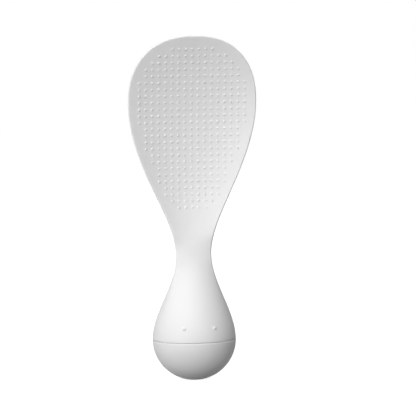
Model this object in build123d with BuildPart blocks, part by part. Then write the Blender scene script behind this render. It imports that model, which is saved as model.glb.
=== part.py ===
from build123d import *
import os
from math import cos, hypot, pi, radians, sin, sqrt

# A rice paddle that stands by itself, in millimetres. The foot rests on z = 0 with its centre at
# the origin, +Z is up, and the scooped front of the blade faces -Y.

# Outline seen from the front, from the foot up
overall_height = 200.0
foot_diameter = 14.0
bulb_diameter = 48.6
neck_height = 72.8
neck_width = 20.6
shoulder_height = 101.5
shoulder_width = 37.6
shoulder_flare_share = 0.455
widest_height = 161.4
blade_width = 74.3
tip_squareness = 2.3

# Outline seen from the side: depths are measured forward from the upright axis of the bulb
neck_front = 7.6
neck_lean_share = 0.16
neck_depth = 10.5
neck_crown = 4.6
valley_height = 113.3
valley_front = 2.0
tip_reach = 23.5
blade_thickness = 2.2
blade_root_height = 122.0

# Cross-section of the scoop, and the rounding of its edge
scoop_depth = 5.8
scoop_start_height = 79.0
scoop_blend_height = 85.0
rim_radius = 1.05
neck_edge_radius = 3.5
bulb_edge_share = 0.998

# Raised bumps that keep rice from sticking, in a square grid on the scoop
bump_pitch = 3.82
bump_diameter = 1.7
bump_top_share = 0.45
bump_height = 0.45
bump_root = 0.3
bump_sides = 4
bump_centre_row_height = 146.3
field_margin = 5.2
field_top_margin = 6.0
field_point_height = 92.0
field_low_height = 98.5
rows_in_band = 5
cut_tolerance = 0.001

# Pips on the front of the bulb
pip_diameter = 2.2
pip_rise_above_seam = 9.0
pip_angle = 21.5
pip_height = 0.6

# Hollow handle and its closing joint
handle_wall = 2.5
hollow_top_height = 58.0
seam_chamfer = 0.3
socket_diameter = 43.6
socket_depth = 6.6
spigot_clearance = 0.2
spigot_height = 6.0
spigot_wall = 2.2
spigot_lead_in = 0.6
rib_thickness = 1.6
rib_clearance = 0.4
rib_overlap = 4.0

# Base cap, ballast and seal
cap_wall = 2.6
ballast_clearance = 0.3
ballast_top_height = 17.0
ballast_chamfer = 0.8
seal_thickness = 1.2
seal_clearance = 0.05
seal_groove_width = 1.5
seal_rise_above_seam = 3.0
overrun = 1.0
run_in_step = 6.0

bulb_radius = bulb_diameter / 2
bulb_crown = bulb_radius * (1 - (1 - bulb_edge_share) * (2 - sqrt(2)))
foot_radius = foot_diameter / 2
seam_height = sqrt(bulb_radius**2 - foot_radius**2)
socket_radius = socket_diameter / 2
spigot_radius = socket_radius - spigot_clearance
spigot_inner_radius = spigot_radius - spigot_wall
cap_inner_radius = bulb_radius - cap_wall


def share_between(start, end, height):
    """How far a height lies along a stretch, from 0 to 1."""
    return min(max((height - start) / (end - start), 0), 1)


def ease(first, last, start, end, height):
    """A value that leaves the first one and reaches the last one with no slope."""
    share = share_between(start, end, height)
    return first + (last - first) * share**2 * (3 - 2 * share)


def half_width(height):
    """Half the width seen from the front."""
    if height < neck_height:
        return ease(bulb_radius, neck_width / 2, seam_height, neck_height, height)
    if height < shoulder_height:
        share = share_between(neck_height, shoulder_height, height)
        flare = shoulder_flare_share * (shoulder_height - neck_height) * (share**3 - share**2)
        return ease(neck_width / 2, shoulder_width / 2, neck_height, shoulder_height, height) + flare
    if height < widest_height:
        share = share_between(shoulder_height, widest_height, height)
        flare = shoulder_flare_share * (widest_height - shoulder_height) * share * (1 - share) ** 2
        return ease(shoulder_width / 2, blade_width / 2, shoulder_height, widest_height, height) + flare
    rise = share_between(widest_height, overall_height, height)
    return blade_width / 2 * (1 - rise**tip_squareness) ** (1 / tip_squareness)


def tip_rounding(height):
    """Thins the very tip of the blade to nothing along a quarter circle."""
    return sqrt(1 - share_between(overall_height - rim_radius, overall_height, height) ** 2)


def front(height):
    """How far the middle of the front surface lies ahead of the bulb's axis."""
    if height < neck_height:
        share = share_between(seam_height, neck_height, height)
        lean = neck_lean_share * (neck_height - seam_height) * share**2 * (1 - share)
        return ease(bulb_crown, neck_front, seam_height, neck_height, height) + lean
    if height < valley_height:
        share = share_between(neck_height, valley_height, height)
        lean = neck_lean_share * (valley_height - neck_height) * share * (1 - share) ** 2
        return ease(neck_front, valley_front, neck_height, valley_height, height) - lean
    rise = overall_height - valley_height
    reach = tip_reach - valley_front
    curl_radius = (rise**2 + reach**2) / (2 * reach)
    curl = valley_front + curl_radius - sqrt(curl_radius**2 - (height - valley_height) ** 2)
    return curl - blade_thickness / 2 * (1 - tip_rounding(height))


def depth(height):
    """Depth from the middle of the front surface to the middle of the back."""
    if height < neck_height:
        return ease(2 * bulb_crown, neck_depth, seam_height, neck_height, height)
    whole = ease(neck_depth, blade_thickness, neck_height, blade_root_height, height)
    return whole * tip_rounding(height)


def edge_radius(height):
    """Radius of the rounded edge, seen in a level section."""
    if height < neck_height:
        return ease(bulb_radius * bulb_edge_share, neck_edge_radius, seam_height, neck_height, height)
    whole = ease(neck_edge_radius, rim_radius, neck_height, blade_root_height, height)
    return whole * tip_rounding(height)


def crown(height):
    """How far the middle of the front stands ahead of the centres of the rounded edges."""
    if height < neck_height:
        return ease(bulb_crown, neck_crown, seam_height, neck_height, height)
    scoop = scoop_depth * sin(pi * (height - scoop_start_height) / (overall_height - scoop_start_height))
    neck_scoop = neck_edge_radius - neck_crown
    blended = ease(neck_scoop, scoop, neck_height, scoop_blend_height, height)
    return edge_radius(height) - blended


def bow_radius(half_span, rise, corner_radius):
    """Radius of the arc through a middle point that runs smoothly into two round corners.

    It is negative where the arc bends the other way.
    """
    return (half_span**2 + rise**2 - corner_radius**2) / (2 * (rise - corner_radius))


def touch_point(half_span, rise, corner_radius):
    """Where that arc meets the right-hand corner, seen from the corner's centre."""
    bow = bow_radius(half_span, rise, corner_radius)
    along, across = half_span, bow - rise
    scale = corner_radius / hypot(along, across) * (1 if bow > 0 else -1)
    return along * scale, across * scale


def level_section(height, inset=0):
    """A closed outline of four arcs that run smoothly into one another, in a level plane."""
    corner = edge_radius(height) - inset
    half_span = half_width(height) - edge_radius(height)
    ahead = crown(height) - inset
    behind = depth(height) - crown(height) - inset
    corner_y = crown(height) - front(height)
    front_x, front_y = touch_point(half_span, ahead, corner)
    back_x, back_y = touch_point(half_span, behind, corner)
    with BuildSketch(Plane.XY.offset(height)) as section:
        with BuildLine():
            front_left = (-half_span - front_x, corner_y - front_y)
            front_right = (half_span + front_x, corner_y - front_y)
            back_left = (-half_span - back_x, corner_y + back_y)
            back_right = (half_span + back_x, corner_y + back_y)
            ThreePointArc(front_left, (0, corner_y - ahead), front_right)
            ThreePointArc(front_right, (half_span + corner, corner_y), back_right)
            ThreePointArc(back_right, (0, corner_y + behind), back_left)
            ThreePointArc(back_left, (-half_span - corner, corner_y), front_left)
        make_face()
    return section.sketch


def evenly(start, end, count):
    """Heights spaced evenly from a start up to, but not including, an end."""
    return [start + (end - start) * step / count for step in range(count)]


def tip_stations(angles):
    """Heights that crowd towards the tip as a quarter circle's points do."""
    return [widest_height + (overall_height - widest_height) * sin(radians(angle)) for angle in angles]


# Level sections crowd towards the tip, where the outline turns over. The lowest ones lie below the
# seam and are cut off again, so that the surface reaches the seam upright.
below_seam_heights = evenly(seam_height - 2 * run_in_step, seam_height, 2)
handle_heights = evenly(seam_height, neck_height, 6)
neck_heights = evenly(neck_height, blade_root_height, 7)
blade_heights = evenly(blade_root_height, widest_height, 4)
tip_heights = tip_stations([0, 14, 27, 39, 50, 60, 69])
last_angles = [0, 35, 60, 75]
last_heights = [overall_height - rim_radius * (1 - sin(radians(angle))) for angle in last_angles]

with BuildPart() as handle_core:
    for height in [seam_height - overrun] + evenly(seam_height, hollow_top_height, 5) + [hollow_top_height]:
        add(level_section(height, inset=handle_wall))
    loft()
    with Locations(*[Location((0, 0, seam_height), (0, 0, angle)) for angle in (45, 135)]):
        Box(bulb_diameter, rib_thickness, neck_height * 2, mode=Mode.SUBTRACT)

with BuildPart() as smooth_body:
    for height in below_seam_heights + handle_heights + neck_heights + blade_heights + tip_heights + last_heights:
        add(level_section(height))
    loft()
    split(bisect_by=Plane.XY.offset(seam_height), keep=Keep.TOP)
    add(handle_core.part, mode=Mode.SUBTRACT)
    with BuildSketch(Plane.XY.offset(seam_height)):
        Circle(socket_radius)
    extrude(amount=socket_depth, mode=Mode.SUBTRACT)
    with BuildSketch(Plane.XZ):
        with BuildLine():
            Polyline(
                (bulb_radius - seam_chamfer, seam_height),
                (bulb_radius + overrun, seam_height + seam_chamfer + overrun),
                (bulb_radius + overrun, seam_height),
                close=True,
            )
        make_face()
    revolve(axis=Axis.Z, mode=Mode.SUBTRACT)
    with BuildSketch(Plane.XY.offset(ballast_top_height)):
        for angle in (45, 135):
            Rectangle(2 * (spigot_inner_radius - rib_clearance), rib_thickness, rotation=angle)
    extrude(amount=seam_height + socket_depth + rib_overlap - ballast_top_height)
    pip_height_above_foot = seam_height + pip_rise_above_seam
    for side in (-1, 1):
        angle = radians(pip_angle) * side
        sunk = pip_diameter / 2 - pip_height
        reach_x = (half_width(pip_height_above_foot) - sunk) * sin(angle)
        reach_y = (front(pip_height_above_foot) - sunk) * cos(angle)
        with Locations((reach_x, -reach_y, pip_height_above_foot)):
            Sphere(pip_diameter / 2)


def front_surface(x, height):
    """How far the front surface lies ahead of the axis, also beside the middle."""
    half_span = half_width(height) - edge_radius(height)
    bow = bow_radius(half_span, crown(height), edge_radius(height))
    drop = abs(bow) - sqrt(bow**2 - x**2)
    return front(height) - (drop if bow > 0 else -drop)


def bump_plane(x, height):
    """The plane that carries a bump on the scoop, sunk by the bump's root."""
    half = bump_diameter / 2
    lean = (front_surface(x, height + half) - front_surface(x, height - half)) / bump_diameter
    turn = (front_surface(x + half, height) - front_surface(x - half, height)) / bump_diameter
    outward = Vector(-turn, -1, -lean).normalized()
    place = Vector(x, -front_surface(x, height), height) - outward * bump_root
    return Plane(origin=place, x_dir=(1, -turn, 0), z_dir=outward)


def tip_height(x):
    """Height of the outline above the widest level, at a distance beside the middle."""
    share = 1 - (2 * x / blade_width) ** tip_squareness
    return widest_height + (overall_height - widest_height) * share ** (1 / tip_squareness)


rim_heights = evenly(neck_height, widest_height, 60) + tip_stations(range(90))


def in_bump_field(x, height):
    """Whether a bump fits there: clear of the rim, and inside the field's pointed lower end."""
    if height < field_low_height or x > min(half_width(height), height - field_point_height):
        return False
    if tip_height(x) - height < field_top_margin:
        return False
    return all(hypot(half_width(level) - x, level - height) > field_margin for level in rim_heights)


rows_up = int((overall_height - field_top_margin - bump_centre_row_height) / bump_pitch)
rows_down = int((bump_centre_row_height - field_low_height) / bump_pitch)
columns_beside = int(blade_width / 2 / bump_pitch)
row_heights = [bump_centre_row_height + row * bump_pitch for row in range(-rows_down, rows_up + 1)]
column_places = [column * bump_pitch for column in range(-columns_beside, columns_beside + 1)]

with BuildPart() as bump:
    narrowing = (1 - bump_top_share) * bump_diameter / 2 / bump_height
    with BuildSketch():
        RegularPolygon(bump_diameter / 2 + narrowing * bump_root, side_count=bump_sides)
    with BuildSketch(Plane.XY.offset(bump_root + bump_height)):
        RegularPolygon(bump_diameter / 2 * bump_top_share, side_count=bump_sides)
    loft()


def bumped_band(low, high):
    """The body between two levels, with the bumps whose middles lie there."""
    places = [(x, height) for height in row_heights for x in column_places if low < height < high]
    planes = [bump_plane(x, height) for x, height in places if in_bump_field(abs(x), height)]
    with BuildPart() as band:
        add(smooth_body.part)
        split(bisect_by=Plane.XY.offset(low), keep=Keep.TOP)
        split(bisect_by=Plane.XY.offset(high), keep=Keep.BOTTOM)
        if planes:
            with Locations(*planes):
                add(bump.part, clean=False)
    return band


# Adding all the bumps to the whole body at once is slow. So it is cut into level bands of a few
# rows each, and the skins of the finished bands, without the cuts, are sewn together.
cut_heights = [height - bump_pitch / 2 for height in row_heights[::rows_in_band]]
cut_heights.append(row_heights[-1] + bump_pitch / 2)


def lies_in_cut(face):
    """Whether a face is one that a cut between two bands has made."""
    cuts = [cut for cut in cut_heights if abs(face.center().Z - cut) < cut_tolerance]
    return face.geom_type == GeomType.PLANE and len(cuts) > 0


skin = []
for low, high in zip([0] + cut_heights, cut_heights + [overall_height]):
    skin += [face for face in bumped_band(low, high).faces() if not lies_in_cut(face)]

with BuildPart() as paddle_body:
    add(Solid(Shell(skin)), clean=False)


def bowl_radius(sphere_radius, height):
    """Radius of the bulb's lower half, or of one inside it, at a height."""
    return sqrt(sphere_radius**2 - (seam_height - height) ** 2)


def bowl_arc(sphere_radius, low, high):
    """The profile of that half between two heights."""
    middle = (low + high) / 2
    ends = [(bowl_radius(sphere_radius, height), height) for height in (low, middle, high)]
    return ThreePointArc(*ends)


with BuildPart() as base_cap:
    inner_top = seam_height - sqrt(cap_inner_radius**2 - spigot_inner_radius**2)
    spigot_top = seam_height + spigot_height
    with BuildSketch(Plane.XZ):
        with BuildLine():
            Line((0, 0), (foot_radius, 0))
            outer = bowl_arc(bulb_radius, 0, seam_height)
            Polyline(
                outer @ 1,
                (spigot_radius, seam_height),
                (spigot_radius, spigot_top),
                (spigot_inner_radius, spigot_top),
                (spigot_inner_radius, inner_top),
            )
            inner = bowl_arc(cap_inner_radius, cap_wall, inner_top)
            Polyline(inner @ 0, (0, cap_wall), (0, 0))
        make_face()
    revolve(axis=Axis.Z)
    spigot_rim = base_cap.edges().filter_by(GeomType.CIRCLE).group_by(Axis.Z)[-1].sort_by(SortBy.RADIUS)[-1]
    chamfer(spigot_rim, spigot_lead_in)
    seam_rim = base_cap.edges().filter_by(GeomType.CIRCLE).sort_by(SortBy.RADIUS)[-1]
    chamfer(seam_rim, seam_chamfer)
    groove_floor = socket_radius - seal_thickness - 2 * seal_clearance
    with BuildSketch(Plane.XZ):
        with Locations((groove_floor, seam_height + seal_rise_above_seam)):
            Rectangle(spigot_radius, seal_groove_width, align=(Align.MIN, Align.CENTER))
    revolve(axis=Axis.Z, mode=Mode.SUBTRACT)

with BuildPart() as ballast_weight:
    ballast_sphere = cap_inner_radius - ballast_clearance
    ballast_radius = spigot_inner_radius - ballast_clearance
    shoulder = seam_height - sqrt(ballast_sphere**2 - ballast_radius**2)
    with BuildSketch(Plane.XZ):
        with BuildLine():
            side = bowl_arc(ballast_sphere, cap_wall, shoulder)
            Polyline(
                side @ 1,
                (ballast_radius, ballast_top_height),
                (0, ballast_top_height),
                (0, cap_wall),
                side @ 0,
            )
        make_face()
    revolve(axis=Axis.Z)
    top_rim = ballast_weight.edges().filter_by(GeomType.CIRCLE).group_by(Axis.Z)[-1]
    chamfer(top_rim, ballast_chamfer)

with BuildPart() as seal_ring:
    with BuildSketch(Plane.XZ):
        with Locations((socket_radius - seal_clearance, seam_height + seal_rise_above_seam)):
            Rectangle(seal_thickness, seal_thickness, align=(Align.MAX, Align.CENTER))
    revolve(axis=Axis.Z)

paddle_body.part.label = "paddle_body"
base_cap.part.label = "base_cap"
ballast_weight.part.label = "ballast_weight"
seal_ring.part.label = "seal_ring"

os.makedirs("parts", exist_ok=True)
export_step(paddle_body.part, "parts/paddle_body.step")
export_step(base_cap.part, "parts/base_cap.step")
export_step(ballast_weight.part, "parts/ballast_weight.step")
export_step(seal_ring.part, "parts/seal_ring.step")
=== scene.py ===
import bmesh
import bpy
from math import asin, atan2, cos, degrees, hypot, pi, radians, sin, sqrt
from mathutils import Matrix, Vector
from mathutils.geometry import delaunay_2d_cdt


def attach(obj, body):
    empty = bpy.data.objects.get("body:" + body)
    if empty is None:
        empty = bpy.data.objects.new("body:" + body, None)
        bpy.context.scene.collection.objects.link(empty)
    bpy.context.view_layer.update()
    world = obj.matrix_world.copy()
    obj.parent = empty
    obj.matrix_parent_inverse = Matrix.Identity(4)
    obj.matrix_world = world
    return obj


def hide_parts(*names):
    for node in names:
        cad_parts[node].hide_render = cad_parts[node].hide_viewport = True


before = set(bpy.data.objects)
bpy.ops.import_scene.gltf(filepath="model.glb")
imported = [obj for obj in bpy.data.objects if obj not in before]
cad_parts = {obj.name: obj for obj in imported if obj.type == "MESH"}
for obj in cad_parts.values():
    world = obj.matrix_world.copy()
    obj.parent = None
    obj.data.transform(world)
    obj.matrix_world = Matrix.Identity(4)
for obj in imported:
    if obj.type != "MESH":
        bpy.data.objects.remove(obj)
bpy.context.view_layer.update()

# A white rice paddle that stands on its weighted round base, in metres. +Z is up, the foot rests on
# z = 0 with its centre at the origin, and the scooped front of the blade faces -Y.

# Outline seen from the front, from the foot up. The foot's diameter sets how high the seam lies, and
# bowl_depth, below, how wide the flat of the foot is.
overall_height = 0.2
foot_diameter = 0.014
bulb_diameter = 0.0486
neck_height = 0.0728
neck_width = 0.0206
shoulder_height = 0.1015
shoulder_width = 0.0376
shoulder_flare_share = 0.455
widest_height = 0.1614
blade_width = 0.0743
tip_squareness = 2.3

# Outline seen from the side: depths are measured forward from the upright axis of the bulb
neck_front = 0.0076
neck_lean_share = 0.16
neck_depth = 0.0105
neck_crown = 0.0023
valley_height = 0.1133
valley_front = 0.002
tip_reach = 0.0235
blade_thickness = 0.0022
tip_thickness = 0.0014
blade_root_height = 0.122

# Cross-section of the scoop, and the rounding of its edge, which sharpens from the bulb up to the rim
scoop_depth = 0.0058
scoop_start_height = 0.079
scoop_blend_height = 0.085
rim_radius = 0.0006
neck_edge_radius = 0.0012
neck_edge_height = 0.067
bulb_edge_share = 0.998

# Bumps on the scoop, in a square grid, and the two pips on the bulb
bump_pitch = 0.00382
bump_diameter = 0.0017
bump_height = 0.0003
bump_fillet = 0.00015
bump_centre_row_height = 0.1463
field_margin = 0.0052
field_top_margin = 0.006
field_point_height = 0.092
field_low_height = 0.0985
pip_diameter = 0.0022
pip_height = 0.0006
pip_fillet = 0.0003
pip_rise_above_seam = 0.0084
pip_angle = 22.5
pip_turn = 1.8

# Hollow handle, base cap and the joint between them
handle_wall = 0.0025
hollow_top_height = 0.058
seam_round = 0.0003
seam_gap = 0.00015
socket_diameter = 0.0436
socket_depth = 0.0066
spigot_clearance = 0.0002
spigot_height = 0.006
spigot_wall = 0.0022
spigot_lead_in = 0.0006
rib_angles = (45, 135)
rib_thickness = 0.0016
rib_clearance = 0.0004
rib_overlap = 0.004
rib_sink = 0.0005
cap_wall = 0.0026
bowl_depth = 0.0238
seal_thickness = 0.0012
seal_clearance = 0.00005
seal_groove_width = 0.0015
seal_rise_above_seam = 0.003
ballast_top_height = 0.017

# Fineness of the meshes. A filling keeps the triangles inside its outline, and points closer together than
# its margin count as one. Patches are the filled parts of the body's front and back.
level_step = 0.001
skin_step = bump_pitch / 2
clear_share = 0.45
dome_clear_share = 0.2
arc_steps = 48
corner_steps = 20
tip_steps = 60
bowl_steps = 40
round_steps = 4
cap_segments = 144
dome_segments = 14
dome_shares = (0.35, 0.7, 1)
fillet_shares = (0.5, 0)
foot_shares = (0, 0.5)
rim_passes = 3
probe = 0.0001
weld_distance = 0.000002
smooth_angle = 40
fill_inside = 1
fill_margin = 1e-9
patch_low_height = 0.095
pip_patch_half_width = 0.0135
pip_patch_half_height = 0.004

# Materials: each wanders between two tones and two roughnesses as its noise goes from low to high. A noise
# has a scale in waves for each metre, a level of detail, and the height of the grain that it raises.
noise_low = 0.3
noise_high = 0.7
body_tones = ((0.82, 0.82, 0.82), (0.84, 0.84, 0.84))
cap_tones = ((0.8, 0.8, 0.8), (0.82, 0.82, 0.82))
plastic_roughnesses = (0.6, 0.7)
cloud_scale = 40
cloud_detail = 3
grain_scale = 2600
grain_detail = 2
grain_height = 0.000004
iron_tones = ((0.07, 0.07, 0.072), (0.14, 0.14, 0.142))
iron_roughnesses = (0.5, 0.75)
iron_metallic = 0.8
pit_scale = 900
pit_detail = 6
pit_height = 0.00008
rubber_tones = ((0.012, 0.012, 0.012), (0.03, 0.03, 0.03))
rubber_roughnesses = (0.55, 0.8)
bloom_scale = 700
bloom_detail = 4
bloom_height = 0.00001

# Studio: each lamp has its name, its azimuth and elevation in degrees, and its power in watts
white = (1, 1, 1, 1)
floor_half_size = 4
floor_colour = (0.2, 0.2, 0.2)
floor_roughness = 0.9
floor_glow = 0.9
world_strength = 0.05
world_strength_seen = 1
lamp_distance = 2
lamp_size = 1
lamps = (
    ("front_softbox", -20, 30, 27),
    ("left_softbox", -50, 0, 14.5),
    ("far_left_softbox", -95, 5, 5.5),
    ("overhead_softbox", 0, 80, 13),
    ("back_softbox", 170, 25, 20),
)

# Camera: angles in degrees, the lens and the sensor in millimetres
view_azimuth = -6.5
view_elevation = 3.63
view_roll = -1.1
view_distance = 1.513
aim_height = 0.10176
aim_beside = 0.0095
lens = 225
sensor_width = 36

bulb_radius = bulb_diameter / 2
bulb_crown = bulb_radius * (1 - (1 - bulb_edge_share) * (2 - sqrt(2)))
foot_radius = foot_diameter / 2
seam_height = sqrt(bulb_radius**2 - foot_radius**2)
body_foot = seam_height + seam_gap
shelf_height = seam_height + socket_depth
socket_radius = socket_diameter / 2
spigot_radius = socket_radius - spigot_clearance
spigot_inner_radius = spigot_radius - spigot_wall
cap_inner_radius = bulb_radius - cap_wall


def share_between(start, end, height):
    """How far a height lies along a stretch, from 0 to 1."""
    return min(max((height - start) / (end - start), 0), 1)


def ease(first, last, start, end, height):
    """A value that leaves the first one and reaches the last one with no slope."""
    share = share_between(start, end, height)
    return first + (last - first) * share**2 * (3 - 2 * share)


def half_width(height):
    """Half the width seen from the front."""
    if height < neck_height:
        return ease(bulb_radius, neck_width / 2, seam_height, neck_height, height)
    if height < shoulder_height:
        share = share_between(neck_height, shoulder_height, height)
        flare = shoulder_flare_share * (shoulder_height - neck_height) * (share**3 - share**2)
        return ease(neck_width / 2, shoulder_width / 2, neck_height, shoulder_height, height) + flare
    if height < widest_height:
        share = share_between(shoulder_height, widest_height, height)
        flare = shoulder_flare_share * (widest_height - shoulder_height) * share * (1 - share) ** 2
        return ease(shoulder_width / 2, blade_width / 2, shoulder_height, widest_height, height) + flare
    rise = share_between(widest_height, overall_height, height)
    return blade_width / 2 * (1 - rise**tip_squareness) ** (1 / tip_squareness)


def front(height):
    """How far the middle of the front surface lies ahead of the bulb's axis."""
    if height < neck_height:
        share = share_between(seam_height, neck_height, height)
        lean = neck_lean_share * (neck_height - seam_height) * share**2 * (1 - share)
        return ease(bulb_crown, neck_front, seam_height, neck_height, height) + lean
    if height < valley_height:
        share = share_between(neck_height, valley_height, height)
        lean = neck_lean_share * (valley_height - neck_height) * share * (1 - share) ** 2
        return ease(neck_front, valley_front, neck_height, valley_height, height) - lean
    rise = overall_height - valley_height
    reach = tip_reach - valley_front
    curl_radius = (rise**2 + reach**2) / (2 * reach)
    return valley_front + curl_radius - sqrt(curl_radius**2 - (height - valley_height) ** 2)


def depth(height):
    """Depth from the middle of the front surface to the middle of the back."""
    if height < neck_height:
        return ease(2 * bulb_crown, neck_depth, seam_height, neck_height, height)
    if height < widest_height:
        return ease(neck_depth, blade_thickness, neck_height, blade_root_height, height)
    return ease(blade_thickness, tip_thickness, widest_height, overall_height, height)


def edge_radius(height):
    """Radius of the rounded edge, seen in a level section."""
    if height < neck_edge_height:
        return ease(bulb_radius * bulb_edge_share, neck_edge_radius, seam_height, neck_edge_height, height)
    return ease(neck_edge_radius, rim_radius, neck_edge_height, blade_root_height, height)


def crown(height):
    """How far the middle of the front stands ahead of the centres of the rounded edges."""
    if height < neck_height:
        return ease(bulb_crown, neck_crown, seam_height, neck_height, height)
    scoop = scoop_depth * sin(pi * (height - scoop_start_height) / (overall_height - scoop_start_height))
    neck_scoop = edge_radius(neck_height) - neck_crown
    blended = ease(neck_scoop, scoop, neck_height, scoop_blend_height, height)
    return edge_radius(height) - blended


def bow_radius(half_span, rise, corner_radius):
    """Radius of the arc through a middle point that runs smoothly into two round corners.

    It is negative where the arc bends the other way.
    """
    return (half_span**2 + rise**2 - corner_radius**2) / (2 * (rise - corner_radius))


def fall(bow, x):
    """How far an arc falls back from its middle, at a distance beside it."""
    drop = abs(bow) - sqrt(bow**2 - x**2)
    return drop if bow > 0 else -drop


def front_y(x, height):
    """The front surface, as a place along Y."""
    half_span = half_width(height) - edge_radius(height)
    return fall(bow_radius(half_span, crown(height), edge_radius(height)), x) - front(height)


def back_y(x, height):
    """The back surface, as a place along Y."""
    half_span = half_width(height) - edge_radius(height)
    behind = depth(height) - crown(height)
    return depth(height) - front(height) - fall(bow_radius(half_span, behind, edge_radius(height)), x)


def bow_points(half_span, rise, corner, middle_y, outward):
    """Points along one arc of a level section, from the left-hand corner to the right-hand one."""
    bow = bow_radius(half_span, rise, corner)
    away = hypot(half_span, bow - rise)
    reach = half_span * (1 + corner / away * (1 if bow > 0 else -1))
    spread = asin(reach / abs(bow))
    turns = [spread * (2 * step / arc_steps - 1) for step in range(arc_steps + 1)]
    return [(abs(bow) * sin(turn), middle_y - outward * fall(bow, abs(bow) * sin(turn))) for turn in turns]


def corner_points(centre_x, centre_y, start, end):
    """Points along the round corner that joins the ends of two arcs of a level section."""
    first = atan2(start[1] - centre_y, start[0] - centre_x)
    last = atan2(end[1] - centre_y, end[0] - centre_x)
    radius = hypot(start[0] - centre_x, start[1] - centre_y)
    turns = [first + (last - first) * step / corner_steps for step in range(corner_steps + 1)]
    return [(centre_x + radius * cos(turn), centre_y + radius * sin(turn)) for turn in turns]


def level_section(height, inset=0):
    """The front, right-hand edge, back and left-hand edge of a level section, as lists of points."""
    corner = edge_radius(height) - inset
    half_span = half_width(height) - edge_radius(height)
    ahead = crown(height) - inset
    behind = depth(height) - crown(height) - inset
    corner_y = crown(height) - front(height)
    front_arc = bow_points(half_span, ahead, corner, corner_y - ahead, -1)
    back_arc = bow_points(half_span, behind, corner, corner_y + behind, 1)
    right = corner_points(half_span, corner_y, front_arc[-1], back_arc[-1])
    left = [(-x, y) for x, y in right]
    lines = (front_arc, right, back_arc[::-1], left[::-1])
    return [[Vector((x, y, height)) for x, y in line] for line in lines]


def closed_ring(lines):
    """The lines of a level section as one closed ring, with no point twice."""
    return [point for line in lines for point in line[:-1]]


def levels_between(low, high):
    """Heights about one level step apart, with both ends."""
    count = max(round((high - low) / level_step), 1)
    return [low + (high - low) * step / count for step in range(count + 1)]


class Skin:
    """A mesh that is put together from strips, rings and patches, and welded where they meet."""

    def __init__(self):
        self.points = []
        self.faces = []

    def add(self, points, faces):
        """Adds points, and faces whose corners are counted from the first of these points."""
        start = len(self.points)
        self.points += points
        self.faces += [[start + index for index in face] for face in faces]

    def strip(self, lines, closed=False, hole=((), ())):
        """Quads between lines of equally many points, apart from a hole of some rows and columns."""
        count = len(lines[0])
        spans = count if closed else count - 1
        faces = []
        for row in range(len(lines) - 1):
            for column in range(spans):
                if row in hole[0] and column in hole[1]:
                    continue
                beside = (column + 1) % count
                low, high = row * count, (row + 1) * count
                faces.append([low + column, low + beside, high + beside, high + column])
        self.add([point for line in lines for point in line], faces)

    def fan(self, ring, tip):
        """Triangles from a closed ring to one point."""
        count = len(ring)
        self.add(ring + [tip], [[index, (index + 1) % count, count] for index in range(count)])

    def piece(self, name):
        """The welded mesh as an object, smooth apart from its sharp edges, with its normals outward."""
        mesh = bmesh.new()
        corners = [mesh.verts.new(point) for point in self.points]
        for face in self.faces:
            mesh.faces.new([corners[index] for index in face])
        bmesh.ops.remove_doubles(mesh, verts=mesh.verts, dist=weld_distance)
        bmesh.ops.recalc_face_normals(mesh, faces=mesh.faces)
        for face in mesh.faces:
            face.smooth = True
        for edge in mesh.edges:
            edge.smooth = edge.calc_face_angle(0) < radians(smooth_angle)
        data = bpy.data.meshes.new(name)
        mesh.to_mesh(data)
        mesh.free()
        made = bpy.data.objects.new(name, data)
        bpy.context.scene.collection.objects.link(made)
        return made


class Dome:
    """A round bump with a small fillet at its foot, on a surface that is a function of x and height."""

    def __init__(self, x, height, diameter, rise, fillet):
        ball = (diameter**2 / 4 + rise**2) / (2 * rise)
        sunk = ball - rise
        self.x = x
        self.height = height
        self.reach = sqrt((ball + fillet) ** 2 - (sunk + fillet) ** 2)
        lean = asin(self.reach / (ball + fillet))
        on_ball = [(ball * sin(lean * share), ball * cos(lean * share) - sunk) for share in dome_shares]
        on_fillet = [
            (self.reach - fillet * sin(lean * share), fillet - fillet * cos(lean * share))
            for share in fillet_shares
        ]
        self.rings = on_ball + on_fillet
        self.rise = rise

    def points(self, surface):
        """Pairs of a place on the bare surface and the point of the dome above it."""
        outward = outward_from(surface, self.x, self.height)
        middle = Vector((self.x, surface(self.x, self.height), self.height))
        sideways = Vector((outward.y, -outward.x, 0)).normalized() * -1
        upward = sideways.cross(outward) * -1
        found = [(middle, middle + outward * self.rise)]
        for radius, lift in self.rings:
            for step in range(dome_segments):
                turn = 2 * pi * step / dome_segments
                beside = middle + (sideways * cos(turn) + upward * sin(turn)) * radius
                bare = Vector((beside.x, surface(beside.x, beside.z), beside.z))
                found.append((bare, bare + outward * lift))
        return found


def outward_from(surface, x, height):
    """The direction square to a front surface, away from the object."""
    turn = (surface(x + probe, height) - surface(x - probe, height)) / (2 * probe)
    lean = (surface(x, height + probe) - surface(x, height - probe)) / (2 * probe)
    return Vector((turn, -1, lean)).normalized()


def inside(x, height, outline):
    """Whether a place lies inside a closed outline, and clear of its points."""
    within = False
    for start, end in zip(outline, outline[1:] + outline[:1]):
        if hypot(start.x - x, start.z - height) < skin_step * clear_share:
            return False
        if (start.z > height) != (end.z > height):
            if x < start.x + (end.x - start.x) * (height - start.z) / (end.z - start.z):
                within = not within
    return within


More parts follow.
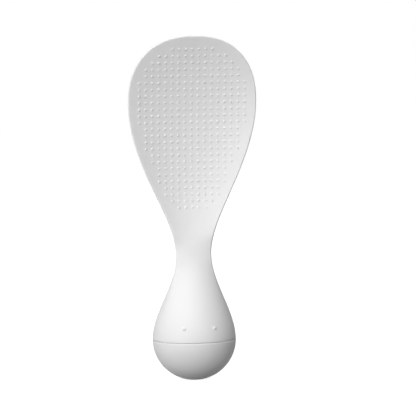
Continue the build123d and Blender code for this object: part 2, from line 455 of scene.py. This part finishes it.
def patch(skin, outline, surface, domes, level):
    """Fills a closed outline with triangles on a surface, closer together where its domes stand."""
    pairs = [(point, point) for point in outline]
    for dome in domes:
        pairs += dome.points(surface)
    reach_x = max(point.x for point in outline)
    low, high = min(point.z for point in outline), max(point.z for point in outline)
    for column in range(-int(reach_x / skin_step), int(reach_x / skin_step) + 1):
        for row in range(int((low - level) / skin_step), int((high - level) / skin_step) + 1):
            x, height = column * skin_step, level + row * skin_step
            near_dome = any(
                hypot(dome.x - x, dome.height - height) < dome.reach + skin_step * dome_clear_share
                for dome in domes
            )
            if not near_dome and inside(x, height, outline):
                point = Vector((x, surface(x, height), height))
                pairs.append((point, point))
    flat = [Vector((bare.x, bare.z)) for bare, lifted in pairs]
    rim = [(index, (index + 1) % len(outline)) for index in range(len(outline))]
    found = delaunay_2d_cdt(flat, rim, [], fill_inside, fill_margin)
    places = [pairs[origins[0]][1] for origins in found[3]]
    skin.add(places, found[2])


def bump_places():
    """Places of the square grid of bumps, as pairs of x and height."""
    edge = [(half_width(height), height) for height in levels_between(neck_height, widest_height)]
    edge += [tip_outline(step / tip_steps * pi / 2) for step in range(tip_steps + 1)]
    places = []
    rows = int((overall_height - bump_centre_row_height) / bump_pitch)
    columns = int(blade_width / 2 / bump_pitch)
    for row in range(-rows, rows + 1):
        height = bump_centre_row_height + row * bump_pitch
        for column in range(-columns, columns + 1):
            x = abs(column) * bump_pitch
            if height < field_low_height or x > height - field_point_height or x > half_width(height):
                continue
            headroom = tip_height(x) - height
            clear = all(hypot(edge_x - x, level - height) > field_margin for edge_x, level in edge)
            if clear and headroom > field_top_margin:
                places.append((column * bump_pitch, height))
    return places


def tip_height(x):
    """Height of the outline above the widest level, at a distance beside the middle."""
    share = 1 - (2 * x / blade_width) ** tip_squareness
    return widest_height + (overall_height - widest_height) * share ** (1 / tip_squareness)


def tip_outline(turn):
    """A point of the tip's outline, by an angle from the widest level up to the very tip."""
    height = widest_height + (overall_height - widest_height) * sin(turn)
    return half_width(height), height


def tip_edge(turn):
    """The rounded edge at one point of the tip, from the front surface round to the back one."""
    x, height = tip_outline(turn)
    tip_rise = overall_height - widest_height
    across = (2 * x / blade_width) ** (tip_squareness - 1) / (blade_width / 2)
    up = ((height - widest_height) / tip_rise) ** (tip_squareness - 1) / tip_rise
    out = Vector((across, 0, up)).normalized()
    radius = rim_radius
    for step in range(rim_passes):
        centre = Vector((x, 0, height)) - out * radius
        ahead, behind = centre + out * probe, centre - out * probe
        front_slope = (front_y(ahead.x, ahead.z) - front_y(behind.x, behind.z)) / (2 * probe)
        back_slope = (back_y(ahead.x, ahead.z) - back_y(behind.x, behind.z)) / (2 * probe)
        thickness = back_y(centre.x, centre.z) - front_y(centre.x, centre.z)
        radius = thickness / (hypot(1, front_slope) + hypot(1, back_slope))
    centre.y = front_y(centre.x, centre.z) + radius * hypot(1, front_slope)
    first, last = atan2(-1, front_slope), atan2(1, -back_slope)
    turns = [first + (last - first) * step / corner_steps for step in range(corner_steps + 1)]
    return [centre + out * radius * cos(turn) + Vector((0, radius * sin(turn), 0)) for turn in turns]


def mirrored(points):
    """The same points on the other side of the middle."""
    return [Vector((-point.x, point.y, point.z)) for point in points]


def round_ring(radius, height, like):
    """A level circle with its points beside those of another ring."""
    return [Vector((point.x, point.y, 0)).normalized() * radius + Vector((0, 0, height)) for point in like]


def build_body():
    """The scoop, its neck and the upper half of the hollow bulb, with the bumps and the two pips."""
    skin = Skin()
    add_bulb(skin)
    add_blade(skin)
    add_hollow(skin)
    add_ribs(skin)
    return skin.piece("scoop_and_handle")


def add_bulb(skin):
    """The outside of the bulb's upper half and of the neck, with a patch that carries the two pips."""
    levels = levels_between(body_foot + seam_round, patch_low_height)
    rings = [closed_ring(level_section(height)) for height in levels]
    pip_level = seam_height + pip_rise_above_seam
    rows = [index for index, height in enumerate(levels) if abs(height - pip_level) < pip_patch_half_height]
    middle_ring = rings[rows[len(rows) // 2]]
    columns = [index for index in range(arc_steps + 1) if abs(middle_ring[index].x) < pip_patch_half_width]
    skin.strip(rings, closed=True, hole=(rows[:-1], columns[:-1]))
    pip_outline = [rings[rows[0]][column] for column in columns[:-1]]
    pip_outline += [rings[row][columns[-1]] for row in rows[:-1]]
    pip_outline += [rings[rows[-1]][column] for column in columns[:0:-1]]
    pip_outline += [rings[row][columns[0]] for row in rows[:0:-1]]
    pip_reach = (half_width(pip_level) + front(pip_level)) / 2
    pip_places = [pip_reach * sin(radians(pip_turn + angle)) for angle in (-pip_angle, pip_angle)]
    pips = [Dome(x, pip_level, pip_diameter, pip_height, pip_fillet) for x in pip_places]
    patch(skin, pip_outline, front_y, pips, pip_level)


def add_blade(skin):
    """The blade: its rounded edge, its front with the bumps, and its plain back."""
    sections = [level_section(height) for height in levels_between(patch_low_height, widest_height)]
    turns = [step / tip_steps * pi / 2 for step in range(1, tip_steps + 1)]
    edge = [section[1] for section in sections] + [tip_edge(turn) for turn in turns]
    edge += [mirrored(line) for line in edge[-2::-1]]
    skin.strip(edge)
    front_outline = sections[0][0][:-1] + [line[0] for line in edge[:-1]]
    back_outline = sections[0][2][::-1][:-1] + [line[-1] for line in edge[:-1]]
    bumps = [Dome(x, height, bump_diameter, bump_height, bump_fillet) for x, height in bump_places()]
    patch(skin, front_outline, front_y, bumps, bump_centre_row_height)
    patch(skin, back_outline, back_y, [], bump_centre_row_height)


def add_hollow(skin):
    """The inside of the handle, its socket, and the rounded lip at the seam."""
    core_levels = levels_between(shelf_height, hollow_top_height)[::-1]
    inner = [closed_ring(level_section(height, handle_wall)) for height in core_levels]
    lowest = closed_ring(level_section(body_foot, seam_round))
    inner += [round_ring(socket_radius, height, lowest) for height in (shelf_height, body_foot)]
    for step in range(round_steps):
        lean = pi / 2 * step / round_steps
        height = body_foot + seam_round * (1 - cos(lean))
        inner.append(closed_ring(level_section(height, seam_round * (1 - sin(lean)))))
    inner.append(closed_ring(level_section(body_foot + seam_round)))
    skin.strip(inner, closed=True)
    skin.fan(inner[0], sum(inner[0], Vector()) / len(inner[0]))


def add_ribs(skin):
    """Two crossed ribs inside the hollow handle, which reach down to the ballast."""
    free_reach = spigot_inner_radius - rib_clearance
    for angle in rib_angles:
        along = Vector((cos(radians(angle)), sin(radians(angle)), 0))
        across = Vector((-along.y, along.x, 0)) * rib_thickness / 2
        right = [(free_reach, ballast_top_height), (free_reach, shelf_height + rib_overlap)]
        left = list(right)
        for height in levels_between(shelf_height + rib_overlap, hollow_top_height)[1:]:
            ring = closed_ring(level_section(height, handle_wall))
            sides = [point.x * along.x + point.y * along.y for point in ring]
            squares = [abs(point.x * across.x + point.y * across.y) for point in ring]
            ahead = min((square, side) for square, side in zip(squares, sides) if side > 0)[1]
            behind = min((square, side) for square, side in zip(squares, sides) if side < 0)[1]
            right.append((ahead + rib_sink, height))
            left.append((rib_sink - behind, height))
        outline = [along * reach + Vector((0, 0, height)) for reach, height in right]
        outline += [Vector((0, 0, height)) - along * reach for reach, height in left[::-1]]
        near = [point - across for point in outline]
        far = [point + across for point in outline]
        count = len(outline)
        faces = []
        for index in range(count):
            beside = (index + 1) % count
            faces.append([index, beside, count + beside, count + index])
        faces += [list(range(count)), list(range(count, 2 * count))]
        skin.add(near + far, faces)


def arc(centre_radius, centre_height, radius, first, last, steps):
    """Points of a profile along an arc, as pairs of radius and height, between two angles in degrees."""
    turns = [radians(first + (last - first) * step / steps) for step in range(steps + 1)]
    return [(centre_radius + radius * cos(turn), centre_height + radius * sin(turn)) for turn in turns]


def build_cap():
    """The lower half of the bulb, with its flat foot and the spigot that fits the handle's socket."""
    foot_edge = bulb_radius * sqrt(1 - (seam_height / bowl_depth) ** 2)
    foot_lean = degrees(asin(foot_edge / bulb_radius))
    inner_lean = degrees(asin(spigot_inner_radius / cap_inner_radius))
    floor_lean = degrees(asin((seam_height - cap_wall) / cap_inner_radius))
    groove_floor = socket_radius - seal_thickness - 2 * seal_clearance
    groove_low = seam_height + seal_rise_above_seam - seal_groove_width / 2
    spigot_top = seam_height + spigot_height
    seam_drop = degrees(asin(seam_round / bulb_radius))
    profile = [(foot_edge * share, 0) for share in foot_shares]
    for reach, height in arc(0, seam_height, bulb_radius, foot_lean - 90, -seam_drop, bowl_steps):
        profile.append((reach, seam_height + (height - seam_height) * bowl_depth / bulb_radius))
    profile += arc(bulb_radius - seam_round, seam_height - seam_round, seam_round, 0, 90, round_steps)[1:]
    profile += [
        (spigot_radius, seam_height),
        (spigot_radius, groove_low),
        (groove_floor, groove_low),
        (groove_floor, groove_low + seal_groove_width),
        (spigot_radius, groove_low + seal_groove_width),
        (spigot_radius, spigot_top - spigot_lead_in),
        (spigot_radius - spigot_lead_in, spigot_top),
        (spigot_inner_radius, spigot_top),
    ]
    profile += arc(0, seam_height, cap_inner_radius, inner_lean - 90, -floor_lean, bowl_steps)
    skin = Skin()
    turns = [2 * pi * step / cap_segments for step in range(cap_segments)]
    rings = []
    for reach, height in profile[1:]:
        rings.append([Vector((reach * cos(turn), reach * sin(turn), height)) for turn in turns])
    skin.strip(rings, closed=True)
    skin.fan(rings[0], Vector((0, 0, 0)))
    skin.fan(rings[-1], Vector((0, 0, cap_wall)))
    return skin.piece("bulb_base")


def node_material(name):
    """A new node material, with its nodes, its links and its shader."""
    material = bpy.data.materials.new(name)
    material.use_nodes = True
    nodes = material.node_tree.nodes
    return material, nodes, material.node_tree.links, nodes["Principled BSDF"]


def noise(nodes, links, scale, detail):
    """A noise texture in the object's own coordinates, in waves for each metre."""
    place = nodes.new("ShaderNodeTexCoord")
    texture = nodes.new("ShaderNodeTexNoise")
    texture.inputs["Scale"].default_value = scale
    texture.inputs["Detail"].default_value = detail
    links.new(place.outputs["Object"], texture.inputs["Vector"])
    return texture.outputs["Fac"]


def ranged(nodes, links, value, ends):
    """A noise value that is spread between two numbers."""
    spread = nodes.new("ShaderNodeMapRange")
    spread.inputs["From Min"].default_value = noise_low
    spread.inputs["From Max"].default_value = noise_high
    spread.inputs["To Min"].default_value = ends[0]
    spread.inputs["To Max"].default_value = ends[1]
    links.new(value, spread.inputs["Value"])
    return spread.outputs["Result"]


def tinted(nodes, links, value, tones):
    """A colour that wanders between two tones."""
    ramp = nodes.new("ShaderNodeValToRGB")
    for element, place, tone in zip(ramp.color_ramp.elements, (noise_low, noise_high), tones):
        element.position = place
        element.color = (*tone, 1)
    links.new(value, ramp.inputs["Fac"])
    return ramp.outputs["Color"]


def grained(nodes, links, value, height):
    """A surface grain of a given height."""
    bump = nodes.new("ShaderNodeBump")
    bump.inputs["Distance"].default_value = height
    links.new(value, bump.inputs["Height"])
    return bump.outputs["Normal"]


def moulded_plastic(name, tones):
    """Satin white plastic with a very fine moulded grain."""
    material, nodes, links, shader = node_material(name)
    cloud = noise(nodes, links, cloud_scale, cloud_detail)
    grain = noise(nodes, links, grain_scale, grain_detail)
    links.new(tinted(nodes, links, cloud, tones), shader.inputs["Base Color"])
    links.new(ranged(nodes, links, grain, plastic_roughnesses), shader.inputs["Roughness"])
    links.new(grained(nodes, links, grain, grain_height), shader.inputs["Normal"])
    return material


def cast_iron():
    """Dark sand-cast metal."""
    material, nodes, links, shader = node_material("cast_iron")
    pits = noise(nodes, links, pit_scale, pit_detail)
    links.new(tinted(nodes, links, pits, iron_tones), shader.inputs["Base Color"])
    links.new(ranged(nodes, links, pits, iron_roughnesses), shader.inputs["Roughness"])
    links.new(grained(nodes, links, pits, pit_height), shader.inputs["Normal"])
    shader.inputs["Metallic"].default_value = iron_metallic
    return material


def seal_rubber():
    """Black rubber with a dull bloom."""
    material, nodes, links, shader = node_material("seal_rubber")
    bloom = noise(nodes, links, bloom_scale, bloom_detail)
    links.new(tinted(nodes, links, bloom, rubber_tones), shader.inputs["Base Color"])
    links.new(ranged(nodes, links, bloom, rubber_roughnesses), shader.inputs["Roughness"])
    links.new(grained(nodes, links, bloom, bloom_height), shader.inputs["Normal"])
    return material


def dress(piece, material):
    """Gives a piece one material."""
    piece.data.materials.clear()
    piece.data.materials.append(material)


def seen_directly(nodes, links):
    """1 where it is looked at, also in gloss or through glass, and 0 where it only gives light."""
    path = nodes.new("ShaderNodeLightPath")
    seen = nodes.new("ShaderNodeMath")
    seen.operation = "ADD"
    links.new(path.outputs["Is Camera Ray"], seen.inputs[0])
    links.new(path.outputs["Is Glossy Ray"], seen.inputs[1])
    through = nodes.new("ShaderNodeMath")
    through.operation = "ADD"
    through.use_clamp = True
    links.new(seen.outputs[0], through.inputs[0])
    links.new(path.outputs["Is Transmission Ray"], through.inputs[1])
    return through.outputs[0]


def build_floor():
    """A plain floor that the camera sees as nearly white, with the object's soft shadow on it."""
    mesh = bmesh.new()
    bmesh.ops.create_grid(mesh, x_segments=1, y_segments=1, size=floor_half_size)
    data = bpy.data.meshes.new("floor")
    mesh.to_mesh(data)
    mesh.free()
    floor = bpy.data.objects.new("floor", data)
    bpy.context.scene.collection.objects.link(floor)
    material, nodes, links, shader = node_material("pale_floor")
    shader.inputs["Base Color"].default_value = (*floor_colour, 1)
    shader.inputs["Roughness"].default_value = floor_roughness
    strength = nodes.new("ShaderNodeMath")
    strength.operation = "MULTIPLY"
    strength.inputs[1].default_value = floor_glow
    links.new(seen_directly(nodes, links), strength.inputs[0])
    shader.inputs["Emission Color"].default_value = white
    links.new(strength.outputs[0], shader.inputs["Emission Strength"])
    dress(floor, material)
    return floor


def light_world():
    """A world that is white where it is looked at, and lights the object evenly and weakly."""
    world = bpy.data.worlds.new("studio")
    bpy.context.scene.world = world
    world.use_nodes = True
    nodes, links = world.node_tree.nodes, world.node_tree.links
    background = nodes["Background"]
    background.inputs["Color"].default_value = white
    strength = nodes.new("ShaderNodeMapRange")
    strength.inputs["To Min"].default_value = world_strength
    strength.inputs["To Max"].default_value = world_strength_seen
    links.new(seen_directly(nodes, links), strength.inputs["Value"])
    links.new(strength.outputs["Result"], background.inputs["Strength"])


def direction(azimuth, elevation):
    """The direction from the object to a place around it: azimuth 0 is in front, 90 to the right."""
    turn, rise = radians(azimuth), radians(elevation)
    return Vector((sin(turn) * cos(rise), -cos(turn) * cos(rise), sin(rise)))


def softbox(name, azimuth, elevation, power):
    """A square lamp that points at the middle of the object."""
    lamp = bpy.data.lights.new(name, "AREA")
    lamp.shape = "SQUARE"
    lamp.size = lamp_size
    lamp.energy = power
    holder = bpy.data.objects.new(name, lamp)
    bpy.context.scene.collection.objects.link(holder)
    toward = direction(azimuth, elevation)
    holder.location = Vector((0, 0, overall_height / 2)) + toward * lamp_distance
    holder.rotation_euler = toward.to_track_quat("Z", "Y").to_euler()


def place_camera():
    """The photograph's view: from slightly above, slightly to the left and slightly rolled."""
    camera = bpy.data.cameras.new("camera")
    camera.lens = lens
    camera.sensor_width = sensor_width
    holder = bpy.data.objects.new("camera", camera)
    bpy.context.scene.collection.objects.link(holder)
    toward = direction(view_azimuth, view_elevation)
    right = Vector((cos(radians(view_azimuth)), sin(radians(view_azimuth)), 0))
    holder.location = Vector((0, 0, aim_height)) + toward * view_distance
    aim = Vector((0, 0, aim_height)) + right * aim_beside
    look = (holder.location - aim).to_track_quat("Z", "Y").to_matrix()
    holder.rotation_euler = (look @ Matrix.Rotation(radians(view_roll), 3, "Z")).to_euler()
    bpy.context.scene.camera = holder


body = build_body()
cap = build_cap()
dress(body, moulded_plastic("body_plastic_white", body_tones))
dress(cap, moulded_plastic("cap_plastic_white", cap_tones))
dress(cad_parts["ballast_weight"], cast_iron())
dress(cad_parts["seal_ring"], seal_rubber())
for piece, node, slot in ((body, "paddle_body", "body_plastic"), (cap, "base_cap", "cap_plastic")):
    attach(piece, "root")
    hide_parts(node)
build_floor()
light_world()
for lamp in lamps:
    softbox(*lamp)
place_camera()
bpy.context.scene.view_settings.view_transform = "Standard"
